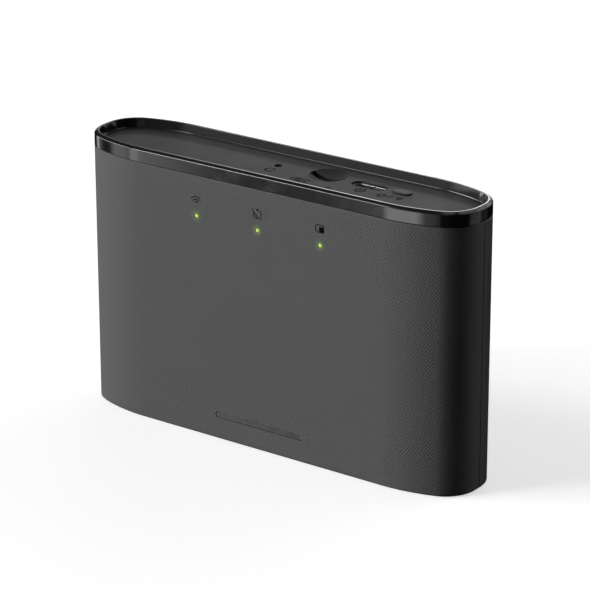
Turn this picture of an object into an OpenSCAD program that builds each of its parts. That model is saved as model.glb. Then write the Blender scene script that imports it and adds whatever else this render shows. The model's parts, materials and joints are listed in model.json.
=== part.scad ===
// Mobile hotspot: a slim upright 4G router in a two-shell case with a glossy
// trim band, a recessed control panel on top and a battery inside.
// +X right, +Y to the rear, +Z up. The origin is the centre of the base.

/* [Case] */
// Width of the case, left to right
case_w = 106; // [105:0.5:110]
// Depth of the case, front to back
case_d = 22.6; // [22.6:0.1:24]
// Height of the case
case_h = 67; // [67:0.5:72]
// Corner radius of the rounded ends, as a share of the depth
end_ratio = 0.372; // [0.362:0.002:0.38]
// Thickness of the outer walls
wall = 1.8; // [1.6:0.1:1.9]
// Chamfer around the bottom edge
base_chamfer = 0.4; // [0.2:0.1:0.6]
// Distance of the side seam behind the middle of the case
seam_y = 0.4; // [0:0.1:0.6]

/* [Trim band] */
// Height of the glossy band
band_h = 3.48; // [3.2:0.02:3.8]
// Width of the chamfer on the band's outer top edge
band_chamfer_w = 0.67; // [0.4:0.01:0.8]
// Height of the chamfer on the band's outer top edge
band_chamfer_h = 0.54; // [0.3:0.02:0.8]
// Width of the band's rim seen from above
rim_w = 1.15; // [1:0.05:1.4]
// Depth of the control panel below the rim
panel_depth = 2.1; // [1.8:0.05:2.3]

/* [Control panel] */
// Thickness of the control panel
panel_t = 1.5; // [1.2:0.1:1.6]
// Sideways position of the reset pinhole
reset_x = -3.9; // [-8:0.1:-2]
// Radius of the reset pinhole
reset_r = 1.0; // [0.8:0.05:1.2]
// Sideways position of the card slot and its finger scoop
sim_x = 9.45; // [8:0.05:9.8]
// Radius of the finger scoop
scoop_r = 4.67; // [4.5:0.01:5]
// Depth of the finger scoop
scoop_depth = 1.25; // [1:0.05:1.4]
// Sideways position of the charging socket
usb_x = 21.3; // [21.3:0.1:21.8]
// Sideways position of the power button
power_x = 29.96; // [29.9:0.1:31]
// Length of the power button's opening
button_l = 5.0; // [4.6:0.1:5.2]
// Width of the power button's opening
button_w = 2.54; // [2.3:0.02:2.6]
// Height of the power button above the control panel
button_proud = 0.35; // [0.2:0.05:0.45]
// Clearance around the power button
button_gap = 0.08; // [0.05:0.01:0.15]

/* [Status lights] */
// Distance between neighbouring status lights
light_pitch = 17.3; // [17:0.1:18.5]
// Height of the status lights
light_z = 53.85; // [53.5:0.05:54.2]
// Radius of each light window
light_r = 0.6; // [0.5:0.05:0.8]

/* [Front inlay] */
// Width of the plain inlay strip low on the front
strip_w = 24.9; // [18:0.1:30]
// Height of the plain inlay strip
strip_h = 1.5; // [1:0.1:2.3]
// Height of the strip's middle above the base
strip_z = 6.1; // [5:0.1:9]

/* [Battery] */
// Width of the battery cell
cell_w = 60; // [50:1:60]
// Height of the battery cell
cell_h = 36; // [30:1:36]
// Thickness of the battery cell
cell_t = 8.3; // [6:0.1:8.3]

/* [Hidden] */
$fn = 96;

// Outline: straight front and back, shallow side arcs, tighter end arcs and a short flat
// at each end. The two arcs meet at the angle turn, measured from the X axis.
turn = 70.9;
end_r = end_ratio * case_d;
end_y = 0.048 * case_d;
end_x = case_w / 2 - end_r;
side_r = (case_d / 2 - end_y - end_r * sin(turn)) / (1 - sin(turn));
side_x = end_x - (side_r - end_r) * cos(turn);
side_y = end_y - (side_r - end_r) * sin(turn);

front_in = -case_d / 2 + wall;         // inner face of the front wall
rear_in = case_d / 2 - wall;           // inner face of the rear wall
body_top = case_h - band_h;            // where the trim band starts
panel_z = case_h - panel_depth;        // upper face of the control panel
rim_run = 0.56;                        // how far the band's inner wall slopes in
panel_edge = rim_w + rim_run;
ledge_z = panel_z - panel_t - 0.02;    // ledge that carries the control panel
step_z = panel_z - 0.9;                // step in the panel's edge, level with the ring's web
bead_z = ledge_z - 1.6;                // middle of the ring's snap bead

board_y = 3.9;                         // front face of the main board
board_t = 1.0;
board_top = panel_z - 2.9;
board_rear = board_y + board_t;
front_seat = board_y - 0.04;           // rear end of the parts in front of the board
rear_seat = board_rear + 0.03;         // front end of the parts behind the board

frame_t = 1.2;                         // the frame's web, from y = 0 to frame_t
frame_bottom = 4;
frame_top = light_z + 2.55;
frame_x = case_w / 2 - 4.8;            // inner side of the frame's end walls
frame_screw_x = [-1, 1] * (case_w / 2 - 8.5);
frame_screw_z = [10, 50];
board_screw_x = [-38, 38];
board_screw_z = [12, 52];
light_x = [-1, 0, 1] * light_pitch;

// Places in Y of what is reached through the control panel
sim_y = 3.17;
usb_y = 2.24;
button_y = 2.4;
reset_y = 2.2;

// ---- helpers: x, y, z and offset given in square brackets are ranges [low, high] ----

function span(centre, size) = [centre - size / 2, centre + size / 2];

// Range in Z given as depths below the control panel's upper face
function under_panel(lower, upper) = [panel_z - lower, panel_z - upper];

// A solid that fills the outline, moved inward by offset[0] at z[0] and by offset[1] at z[1].
// The arcs' radii are a touch large, so that neighbours always meet.
module loft(offset, z) {
    height = z[1] - z[0];
    end_extra = 0.0001;
    side_extra = 0.00005;
    half_d = [case_d / 2, case_d / 2] - offset;
    half_w = [case_w / 2, case_w / 2] - offset;
    translate([-side_x, 0, z[0]]) rotate([90, 0, 90]) linear_extrude(2 * side_x)
        polygon([[-half_d[0], 0], [half_d[0], 0], [half_d[1], height], [-half_d[1], height]]);
    translate([0, end_y, z[0]]) rotate([90, 0, 0]) linear_extrude(2 * end_y)
        polygon([[-half_w[0], 0], [half_w[0], 0], [half_w[1], height], [-half_w[1], height]]);
    for (s = [1, -1], t = [1, -1]) {
        translate([s * end_x, t * end_y, z[0]]) cylinder(
            h = height, r1 = end_r - offset[0] + end_extra, r2 = end_r - offset[1] + end_extra,
            $fn = 128
        );
        // The side arc, cut to the sector between the straight side and the end arc
        intersection() {
            translate([s * side_x, t * side_y, z[0]]) cylinder(
                h = height, r1 = side_r - offset[0] + side_extra,
                r2 = side_r - offset[1] + side_extra, $fn = 256
            );
            translate([0, 0, z[0] - 1]) linear_extrude(height + 2) polygon([
                [s * (side_x - 4), 0],
                [s * (end_x + 0.3 * cos(turn)), t * (end_y + 0.3 * sin(turn))],
                [s * (end_x + 30 * cos(turn)), t * (end_y + 30 * sin(turn))],
                [s * (side_x - 4), t * 40]
            ]);
        }
    }
}

module slab(inset, z) {
    loft([inset, inset], z);
}

module box(x, y, z) {
    translate([x[0], y[0], z[0]]) cube([x[1] - x[0], y[1] - y[0], z[1] - z[0]]);
}

// Everything in the case within a range of y
module slice(y) {
    box([-case_w, case_w], y, [-5, case_h + 5]);
}

// A cylinder along +Y
module rod(x, z, radius, y) {
    translate([x, y[0], z]) rotate([-90, 0, 0]) cylinder(h = y[1] - y[0], r = radius);
}

// A rod at every pair of the listed places
module rods(x_list, z_list, radius, y) {
    for (x = x_list, z = z_list) rod(x, z, radius, y);
}

// A pill-shaped prism along +Z
module pill(x, y, length, width, z) {
    height = z[1] - z[0];
    straight = length - width;
    translate([x, y, z[0]]) {
        for (s = [-1, 1]) translate([s * straight / 2, 0, 0]) cylinder(h = height, r = width / 2);
        translate([-straight / 2, -width / 2, 0]) cube([straight, width, height]);
    }
}

// A wire through a list of points
module wire(points, radius) {
    for (i = [0 : len(points) - 2]) {
        leg = points[i + 1] - points[i];
        translate(points[i])
            rotate([0, acos(leg[2] / norm(leg)), atan2(leg[1], leg[0])])
                cylinder(h = norm(leg), r = radius, $fn = 24);
    }
    for (i = [1 : len(points) - 2]) translate(points[i]) sphere(radius * 1.15, $fn = 24);
}

// ---- case ----

seam_gap = 0.05;     // from the middle of the seam to each shell
tongue_inset = wall / 2 + 0.1;
rebate_inset = wall / 2 + 0.03;
hook_x = [-28, 0, 28];
hook_w = 5;
rib_t = 1;

// The space inside the shells, with the groove that the trim ring snaps into
module case_hollow() {
    slab(wall, [wall, body_top + 1]);
    slab(wall - 0.34, span(bead_z, 0.72));
}

// Both shells in one piece, chamfered at the bottom and top edges
module case_solid() {
    top_chamfer = 0.17;
    flare = base_chamfer - body_top;
    difference() {
        intersection() {
            slab(0, [0, body_top - 0.02]);
            loft([base_chamfer, flare], [0, body_top]);
            loft([flare, top_chamfer], [0, body_top]);
        }
        case_hollow();
    }
}

module front_shell() {
    color([0.13, 0.13, 0.135]) difference() {
        union() {
            intersection() {
                case_solid();
                slice([-case_d, seam_y - seam_gap]);
            }
            // Screw posts for the inner frame
            rods(frame_screw_x, frame_screw_z, 2.2, [-case_d / 2 + 2.8, -0.05]);
            // Ribs that stiffen the front wall beside the battery
            for (x = [-35, 35])
                box(span(x, rib_t), [front_in - 0.3, front_in + 1.6], [wall - 0.2, light_z - 5]);
        }
        // Rebate for the rear shell's tongue
        intersection() {
            slab(rebate_inset, [rebate_inset, body_top + 1]);
            slice([-0.75, case_d]);
        }
        rods(frame_screw_x, frame_screw_z, 1.0, [-5.6, 0.5]);
        rods(light_x, [light_z], light_r, [-case_d / 2 - 1, front_in + 1]);
        // Pocket for the inlay strip
        translate([0, -case_d / 2 + 0.5, strip_z]) rotate([90, 0, 0])
            pill(0, 0, strip_w, strip_h, [0, 3]);
        // Pockets for the snap hooks
        for (x = hook_x) box(span(x, hook_w + 0.4), [-3.4, -2.25], [wall - 0.6, wall + 0.1]);
    }
}

module rear_shell() {
    hook_top = wall + 1.1;
    hook_front = -3.3;
    color([0.12, 0.12, 0.125]) union() {
        intersection() {
            case_solid();
            slice([seam_y + seam_gap, case_d]);
        }
        // Tongue that laps inside the front shell
        difference() {
            intersection() {
                slab(tongue_inset, [tongue_inset, body_top - 0.02]);
                slice([-0.65, seam_y + 0.06]);
            }
            case_hollow();
        }
        // Snap hooks along the floor: root, arm and downward catch
        for (x = hook_x) {
            box(span(x, hook_w), [seam_y + 0.4, seam_y + 2.4], [wall - 0.1, hook_top]);
            box(span(x, hook_w), [hook_front, seam_y + 0.6], [wall + 0.1, hook_top]);
            box(span(x, hook_w), [hook_front, -2.4], [wall - 0.5, wall + 0.2]);
        }
        // Ribs that stiffen the rear wall
        for (x = [-40, 40])
            box(span(x, rib_t), [rear_in - 2.2, rear_in + 0.1], [wall - 0.2, light_z]);
    }
}

module top_trim_ring() {
    slope = rim_run / (panel_depth - 0.02);   // inward run of the inner wall per mm of depth
    chamfer_slope = band_chamfer_w / band_chamfer_h;
    open_top = case_h + 1;
    color([0.03, 0.03, 0.03]) difference() {
        union() {
            // The visible band with its chamfered top edge
            intersection() {
                slab(0, [body_top + 0.13, case_h]);
                loft([band_chamfer_w - 4 * chamfer_slope, band_chamfer_w], [case_h - 4, case_h]);
            }
            // Set-back neck under the band
            slab(0.3, [body_top + 0.01, body_top + 0.5]);
            // The skirt inside the shells, with its snap bead
            slab(wall + 0.06, [ledge_z - 2.68, body_top + 0.1]);
            slab(wall - 0.26, span(bead_z, 0.6));
        }
        slab(panel_edge + 1.6, [0, open_top]);
        slab(panel_edge + 0.7, [ledge_z, open_top]);
        slab(panel_edge, [step_z - 0.02, open_top]);
        loft([panel_edge + slope, rim_w - slope], [panel_z - 0.98, open_top]);
    }
}

module control_panel() {
    scoop_ball_r = (scoop_r * scoop_r + scoop_depth * scoop_depth) / (2 * scoop_depth);
    through = under_panel(4, -1);
    color([0.15, 0.15, 0.155]) difference() {
        union() {
            slab(panel_edge + 0.06, [step_z, panel_z]);
            slab(panel_edge + 0.76, [panel_z - panel_t, step_z + 0.1]);
            // Guide block under the scoop
            box(span(sim_x, 12.4), [0.6, 5.8], under_panel(2.75, panel_t - 0.1));
            // Guide tube of the reset pinhole
            translate([reset_x, reset_y, panel_z - 2.8]) cylinder(h = 1.5, r = reset_r + 0.7);
        }
        // Finger scoop and card slot
        translate([sim_x, sim_y, panel_z + scoop_ball_r - scoop_depth])
            sphere(scoop_ball_r, $fn = 180);
        box(span(sim_x, 9.2), span(sim_y, 1.8), through);
        // Openings for the charging socket, the power button and the reset pin
        pill(usb_x, usb_y, 9.2, 3.5, through);
        pill(power_x, button_y, button_l, button_w, through);
        translate([reset_x, reset_y, panel_z - 5]) cylinder(h = 7, r = reset_r);
    }
}

module front_inlay_strip() {
    color([0.02, 0.02, 0.02])
        translate([0, -case_d / 2 + 0.48, strip_z]) rotate([90, 0, 0])
            pill(0, 0, strip_w - 0.1, strip_h - 0.1, [0, 0.34]);
}

// ---- keys ----

// Plunger sizes in X and Y
power_plunger = [2.7, 1.3];
reset_plunger = [2.2, 1.1];
plunger_gap = 0.07;

module power_button() {
    color([0.14, 0.14, 0.145]) {
        // Cap, the flange that holds it in and the foot above the switch
        pill(power_x, button_y, button_l - 2 * button_gap, button_w - 2 * button_gap,
            under_panel(2, -button_proud));
        pill(power_x, button_y, button_l + 1.3, button_w + 1.1, under_panel(2.4, panel_t + 0.1));
        box(span(power_x, 3), span(button_y, 1.6), under_panel(3, 2.3));
    }
}

module plunger(x, y, size, z) {
    box(span(x, size[0]), span(y, size[1]), z);
}

// A switch housing with two side feet and a well for its plunger
module switch_body(x, y, width, front, z, foot_x, plunger_size) {
    difference() {
        union() {
            box(span(x, width), [front, front_seat], z);
            for (s = [-1, 1])
                box(span(x + s * foot_x, 0.8), [board_y - 0.5, front_seat],
                    [z[0] + 0.5, z[0] + 1.7]);
        }
        plunger(x, y, plunger_size + 2 * [plunger_gap, plunger_gap], [z[1] - 1, z[1] + 0.1]);
    }
}

module power_switch_plunger() {
    color([0.75, 0.73, 0.68]) plunger(power_x, button_y, power_plunger, under_panel(4.6, 3.02));
}

module power_switch_body() {
    color([0.1, 0.1, 0.1]) switch_body(
        power_x, button_y, width = 6, front = 0.95, z = under_panel(7.7, 4),
        foot_x = 3.3, plunger_size = power_plunger
    );
}

module reset_switch_plunger() {
    color([0.8, 0.78, 0.7]) plunger(reset_x, reset_y, reset_plunger, under_panel(4.9, 3.5));
}

module reset_switch_body() {
    color([0.1, 0.1, 0.1]) switch_body(
        reset_x, reset_y, width = 4.7, front = 1, z = under_panel(7.4, 4.3),
        foot_x = 2.6, plunger_size = reset_plunger
    );
}

// ---- card socket ----

sim_bottom = panel_z - 18.7;
card_z = panel_z - 14.6;        // lower edge of the inserted card
slider_y = [2.78, 3.43];
slider_bottom = card_z - 1;

// Three columns and two rows of boxes, behind the card
module contact_grid(width, height, y) {
    for (i = [-1, 0, 1], k = [0, 1])
        box(span(sim_x + i * 2.54, width), y, span(card_z + 3.65 + k * 4.6, height));
}

module sim_socket_base() {
    bay_y = [2, board_y - 0.4];
    channel_x = [sim_x + 4.5, sim_x + 5.7];
    color([0.08, 0.08, 0.08]) difference() {
        box(span(sim_x, 12.2), [2.66, front_seat], [sim_bottom, panel_z - 3.1]);
        // Card bay and the slider's channel
        box([sim_x - 4.5, channel_x[1]], bay_y, [sim_bottom + 2.2, panel_z]);
        box(channel_x, bay_y, [sim_bottom + 0.6, sim_bottom + 3]);
        contact_grid(1.3, 2.9, [2, board_y]);
    }
}

module sim_contacts() {
    color([0.85, 0.68, 0.3]) contact_grid(1, 2.5, [3.47, front_seat]);
}

module sim_socket_cover() {
    sheet_t = 0.2;
    cover_w = 12.7;
    cover_front = 2.42;
    color([0.72, 0.73, 0.75]) difference() {
        box(span(sim_x, cover_w), [cover_front, front_seat], [sim_bottom - 0.1, panel_z - 3.05]);
        box(span(sim_x, cover_w - 2 * sheet_t), [cover_front + sheet_t, board_y + 1],
            [sim_bottom - 1, panel_z]);
        // Window in the front
        box(span(sim_x, 5), [2, 3], [card_z + 2, card_z + 6]);
    }
}

module sim_eject_slider() {
    color([0.55, 0.55, 0.52]) {
        // Bar beside the card and foot under it
        box([sim_x + 4.62, sim_x + 5.6], slider_y, [slider_bottom, card_z + 6]);
        box([sim_x + 2.2, sim_x + 4.7], slider_y, [slider_bottom, card_z - 0.03]);
    }
}

// Coil below the slider, slightly wider in X than in Y
module sim_eject_spring() {
    wire_r = 0.06;
    steps = 32;       // eight to a turn
    base_z = sim_bottom + 0.66;
    rise = slider_bottom - 0.03 - base_z - 0.12;
    color([0.7, 0.7, 0.72]) for (i = [0 : steps - 1]) hull() for (k = [0, 1])
        translate([
            sim_x + 5.1 + 0.38 * cos(45 * (i + k)),
            3.05 + 0.3 * sin(45 * (i + k)),
            base_z + 0.07 + rise * (i + k) / steps
        ]) sphere(wire_r, $fn = 8);
}

module nano_sim_card() {
    half_w = 4.4;
    card_h = 12.3;
    corner = 1.65;    // one corner is cut, as on every card of this size
    color([0.09, 0.09, 0.1])
        translate([sim_x, sim_y - 0.055, card_z]) rotate([90, 0, 0])
            linear_extrude(0.67, center = true) polygon([
                [-half_w, 0], [half_w - corner, 0], [half_w, corner],
                [half_w, card_h], [-half_w, card_h]
            ]);
}

// ---- charging socket ----

// Length and width of the shell's hollow
usb_hollow_l = 8.34;
usb_hollow_w = 2.56;

module usb_c_shell() {
    color([0.78, 0.79, 0.8]) difference() {
        pill(usb_x, usb_y, 8.94, 3.2, under_panel(7.7, 0.45));
        pill(usb_x, usb_y, usb_hollow_l, usb_hollow_w, under_panel(7.3, -1));
    }
}

module usb_c_tongue() {
    color([0.06, 0.06, 0.06]) {
        pill(usb_x, usb_y, usb_hollow_l - 0.1, usb_hollow_w - 0.1, under_panel(7.25, 6.2));
        box(span(usb_x, 6.7), span(usb_y, 0.56), under_panel(6.3, 1.3));
    }
}

module usb_c_contacts() {
    pitch = 0.5;
    color([0.9, 0.72, 0.35]) for (i = [0 : 11], s = [-1, 1])
        box(span(usb_x + (i - 5.5) * pitch, 0.26), span(usb_y + s * 0.33, 0.08),
            under_panel(6.1, 1.7));
}

// ---- electronics ----

// Places [x, z] on the rear of the board
modem_place = [-18, 31];
wifi_place = [16, 31];
shield_h = 2.0;
shield_t = 0.2;

module main_board() {
    // Right half of the outline [x, z], from the bottom up
    lobe_x = frame_x - 1.8;
    right = [
        [40, 7], [41.5, 8.5], [41.5, 15], [43, 16.5], [lobe_x, 16.5],
        [lobe_x, 43.5], [43, 43.5], [41.5, 45], [41.5, board_top - 1.5], [40, board_top]
    ];
    left = [for (i = [len(right) - 1 : -1 : 0]) [-right[i][0], right[i][1]]];
    color([0.06, 0.24, 0.12]) difference() {
        translate([0, board_rear, 0]) rotate([90, 0, 0])
            linear_extrude(board_t) polygon(concat(right, left));
        rods(board_screw_x, board_screw_z, 0.95, [board_y - 1, board_rear + 1]);
    }
}

// A block on the rear of the board; place and size are [x, z]
module chip(place, size, thickness) {
    box(span(place[0], size[0]), [rear_seat, rear_seat + thickness], span(place[1], size[1]));
}

// A thin-walled can, open towards the board
module can(place, size) {
    inner = size - 2 * [shield_t, shield_t];
    top = board_rear + shield_h;
    difference() {
        box(span(place[0], size[0]), [rear_seat, top], span(place[1], size[1]));
        box(span(place[0], inner[0]), [board_rear - 1, top - shield_t], span(place[1], inner[1]));
    }
}

module modem_chip() {
    color([0.07, 0.07, 0.08]) chip(modem_place, [15, 15], 1.2);
}

module modem_shield() {
    color([0.75, 0.76, 0.78]) can(modem_place, [29, 26]);
}

module wifi_chip() {
    color([0.07, 0.07, 0.08]) chip(wifi_place, [9, 9], 0.9);
}

module wifi_shield() {
    color([0.75, 0.76, 0.78]) can(wifi_place, [20, 22]);
}

module power_chip() {
    color([0.07, 0.07, 0.08]) chip([33, 24], [6, 6], 0.9);
}

module memory_chip() {
    color([0.07, 0.07, 0.08]) chip([-1.5, 14], [8, 6], 0.9);
}

module power_inductors() {
    color([0.2, 0.2, 0.21]) for (z = [32, 37, 42]) chip([33, z], [4, 4], 1.77);
}

module capacitors() {
    color([0.62, 0.52, 0.38]) for (i = [0 : 5]) chip([-24 + i * 3, 12.4], [1.6, 0.8], 0.8);
}

module status_leds() {
    color([0.85, 0.85, 0.7]) for (x = light_x)
        box(span(x, 1.6), [board_y - 0.55, front_seat], span(light_z, 0.8));
}

// Clear rods that carry the light to the front face
module light_pipes() {
    color([0.75, 0.95, 0.45]) {
        // Tip in the front wall, main rod and the collar in front of the frame
        rods(light_x, [light_z], light_r - 0.05, [-case_d / 2 + 0.03, front_in + 0.3]);
        rods(light_x, [light_z], 1.0, [front_in + 0.2, board_y - 0.6]);
        rods(light_x, [light_z], 1.6, [-0.9, -0.05]);
    }
}

// ---- frame and fasteners ----

tray_x = 31.7;      // outer side of the battery tray
tray_t = 1.2;
spring_z = 30;      // middle of the antenna springs
cable_x = 33.2;     // where the antenna cables pass through the frame
cable_z = 26;

module inner_frame() {
    end_wall_x = frame_x + 0.5;
    tray_y = [-5, 0.1];
    through = [-1, frame_t + 1];
    color([0.3, 0.3, 0.31]) difference() {
        union() {
            box([-frame_x - 0.1, frame_x + 0.1], [0, frame_t], [frame_bottom, frame_top]);
            // End walls that carry the cellular antennas
            for (s = [-1, 1])
                box(span(s * end_wall_x, 1), [-4, 3.6], [frame_bottom, frame_top]);
            // Battery tray
            for (s = [-1, 1])
                box(span(s * (tray_x - tray_t / 2), tray_t), tray_y, [frame_bottom, 43]);
            box([-tray_x, tray_x], tray_y, [frame_bottom, frame_bottom + tray_t]);
            // Posts for the board
            rods(board_screw_x, board_screw_z, 2.0, [frame_t - 0.1, front_seat]);
        }
        rods(board_screw_x, board_screw_z, 0.8, [0.5, board_y + 1]);
        rods(frame_screw_x, frame_screw_z, 1.15, through);
        rods(light_x, [light_z], 1.1, through);
        // Windows for the antenna springs, the antenna cables and the battery leads
        for (s = [-1, 1]) {
            box(span(s * end_wall_x, 2), [1.6, 3.3], span(spring_z, 4));
            box(span(s * cable_x, 2.4), through, span(cable_z, 3));
        }
        box([-37.5, -32.2], through, [43.5, 48]);
    }
}

// A pan-head screw with a cross recess; its head starts at y and faces +Y
module screw(x, y, z, head_r, head_h, shank_r, length) {
    difference() {
        union() {
            rod(x, z, head_r, [y, y + head_h]);
            rod(x, z, shank_r, [y - length, y + 0.1]);
        }
        for (angle = [0, 90]) translate([x, y + head_h, z]) rotate([0, angle, 0])
            cube([head_r * 1.1, 1.1, 0.3], center = true);
    }
}

module board_screws() {
    color([0.6, 0.61, 0.63]) for (x = board_screw_x, z = board_screw_z)
        screw(x, rear_seat, z, head_r = 1.6, head_h = 1.0, shank_r = 0.76, length = 3.6);
}

module frame_screws() {
    color([0.6, 0.61, 0.63]) for (x = frame_screw_x, z = frame_screw_z)
        screw(x, frame_t + 0.03, z, head_r = 1.8, head_h = 1.2, shank_r = 0.95, length = 6.2);
}

// ---- battery ----

cell_z = 6;
cell_top = cell_z + cell_h;
cell_back = -0.3;
cell_front = cell_back - cell_t;
cell_r = 2;         // radius of the cell's upright edges
plug_x = -34.6;

module battery_cell() {
    color([0.5, 0.52, 0.55]) intersection() {
        box([-cell_w / 2, cell_w / 2], [cell_front, cell_back], [cell_z, cell_top]);
        // Middle block and two rounded ends
        union() {
            box(span(0, cell_w - 2 * cell_r), [-20, 5], [0, 60]);
            for (s = [-1, 1])
                translate([s * (cell_w / 2 - cell_r), cell_back - cell_t / 2, 0]) {
                    for (t = [-1, 1])
                        translate([0, t * (cell_t / 2 - cell_r), 0]) cylinder(h = 60, r = cell_r);
                    box(span(0, 2 * cell_r), span(0, cell_t - 2 * cell_r), [0, 60]);
                }
        }
    }
}

module battery_protection_board() {
    color([0.1, 0.35, 0.18]) {
        box([-22, 22], [-5.4, -4.6], [cell_top + 0.1, cell_top + 3.4]);
        // Two parts on its front
        for (x = [[-10, -4], [4, 9]]) box(x, [-6.2, -5.3], [cell_top + 0.8, cell_top + 2.8]);
    }
}

module battery_tape() {
    color([0.85, 0.8, 0.6]) for (x = [-14, 14])
        box(span(x, 12), [-0.25, -0.05], [cell_z + 2, cell_top - 2]);
}

module battery_foam() {
    foam_y = [front_in + 0.05, min(cell_front - 0.03, front_in + 1)];
    color([0.25, 0.25, 0.25]) for (x = [-18, 18])
        box(span(x, 6), foam_y, [cell_z + 4, cell_top - 4]);
}

// Point at the share t along the cubic curve with control points p
function curve(p, t) = let (u = 1 - t)
    u * u * u * p[0] + 3 * u * u * t * p[1] + 3 * u * t * t * p[2] + t * t * t * p[3];

// A soft lead from the protection board to the plug; shift sets it beside its neighbour
module battery_lead(shift) {
    path = [
        [-20, -3.9, cell_top + 2 + shift], [-29 - shift, -3.9, cell_top + 2.2 + shift],
        [-34 - shift, -3.4, 44.6], [-34 - shift, 2.9, 45.65]
    ];
    steps = 11;
    for (i = [0 : steps - 1]) hull() for (k = [0, 1])
        translate(curve(path, (i + k) / steps)) sphere(0.42, $fn = 10);
}

module battery_lead_red() {
    color([0.7, 0.08, 0.06]) battery_lead(0);
}

module battery_lead_black() {
    color([0.05, 0.05, 0.05]) battery_lead(1.5);
}

module battery_plug() {
    color([0.9, 0.9, 0.86]) box(span(plug_x, 4), [2.05, board_y - 0.14], [46.2, 48.75]);
}

module battery_socket() {
    color([0.92, 0.91, 0.86]) difference() {
        box(span(plug_x, 5.6), [1.75, front_seat], [46.95, 49.95]);
        box(span(plug_x, 4.2), [1.95, board_y - 0.1], [45.75, 48.85]);
    }
}

// ---- antennas ----

// A thin strip with two slots, on the outer side of the frame's end wall
module cellular_antenna(side) {
    slot_x = span(side * (frame_x + 1), 2);
    difference() {
        box(span(side * (frame_x + 1.13), 0.16), [-3.8, 3.4], [5, frame_top - 1]);
        box(slot_x, [-2.6, -1.8], [9, 48]);
        box(slot_x, [0, 0.8], [14, 60]);
    }
}

module cellular_antenna_left() {
    color([0.78, 0.5, 0.25]) cellular_antenna(-1);
}

module cellular_antenna_right() {
    color([0.78, 0.5, 0.25]) cellular_antenna(1);
}

// Each spring has a foot on the board, a leg and an arm through the end wall
module antenna_springs() {
    z = span(spring_z, 2);
    color([0.85, 0.7, 0.35]) for (s = [-1, 1]) {
        box(span(s * (frame_x - 3.4), 2.4), [board_y - 0.3, front_seat], z);
        box(span(s * (frame_x - 2.3), 0.3), [2.2, board_y - 0.1], z);
        box(span(s * (frame_x - 0.7), 3.44), [2.2, 2.45], z);
    }
}

module wifi_antennas() {
    // Middle of each slot: x from the antenna's middle, z
    slots = [[2.25, 23], [-2.25, 29], [2.25, 35]];
    color([0.78, 0.5, 0.25]) for (x = [-40, 40]) difference() {
        box(span(x, 11), [-0.2, -0.05], [18, 42]);
        for (slot = slots) box(span(x + slot[0], 11.5), [-1, 1], span(slot[1], 2));
    }
}

module wifi_cables() {
    y = -0.75;
    color([0.12, 0.12, 0.13]) for (s = [-1, 1]) {
        wire([
            [s * 35.5, y, 38], [s * cable_x, y, 34],
            [s * cable_x, y, cable_z], [s * cable_x, 2.9, cable_z]
        ], 0.5);
        // Round connector on the board
        rod(s * cable_x, cable_z, 1.0, [2.7, front_seat]);
    }
}

// ---- cooling ----

spreader_front = rear_in - 0.62;

module thermal_pads() {
    pad_y = [board_rear + shield_h + 0.04, spreader_front - 0.05];
    color([0.55, 0.6, 0.68]) {
        box(span(modem_place[0], 24), pad_y, span(modem_place[1], 22));
        box(span(wifi_place[0], 16), pad_y, span(wifi_place[1], 18));
    }
}

module heat_spreader() {
    color([0.75, 0.76, 0.77]) box([-31, 31], [spreader_front, rear_in - 0.08], [12, 48]);
}

front_shell();
rear_shell();
top_trim_ring();
control_panel();
front_inlay_strip();
power_button();
power_switch_plunger();
power_switch_body();
reset_switch_plunger();
reset_switch_body();
sim_socket_base();
sim_socket_cover();
sim_contacts();
sim_eject_slider();
sim_eject_spring();
nano_sim_card();
usb_c_shell();
usb_c_tongue();
usb_c_contacts();
main_board();
modem_chip();
modem_shield();
wifi_chip();
wifi_shield();
power_chip();
memory_chip();
power_inductors();
capacitors();
status_leds();
light_pipes();
inner_frame();
board_screws();
frame_screws();
battery_cell();
battery_protection_board();
battery_tape();
battery_foam();
battery_lead_red();
battery_lead_black();
battery_plug();
battery_socket();
cellular_antenna_left();
cellular_antenna_right();
antenna_springs();
wifi_antennas();
wifi_cables();
thermal_pads();
heat_spreader();
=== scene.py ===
"""A pocket wireless device with a SIM card, a battery and a USB-C socket, in an upright case.

The case stands on z = 0, long along X and centred on x = 0. Its front, with three status lights,
faces -Y. The control panel is on top, inside a glossy ring. Pieces are worked out in millimetres
and scaled to metres when they are finished; materials, floor and camera are in metres.
"""
import json
import random
from collections import namedtuple
from math import acos, asin, atan2, cos, pi, radians, sin, sqrt, tan

import bmesh
import bpy
from mathutils import Matrix, Vector


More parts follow.
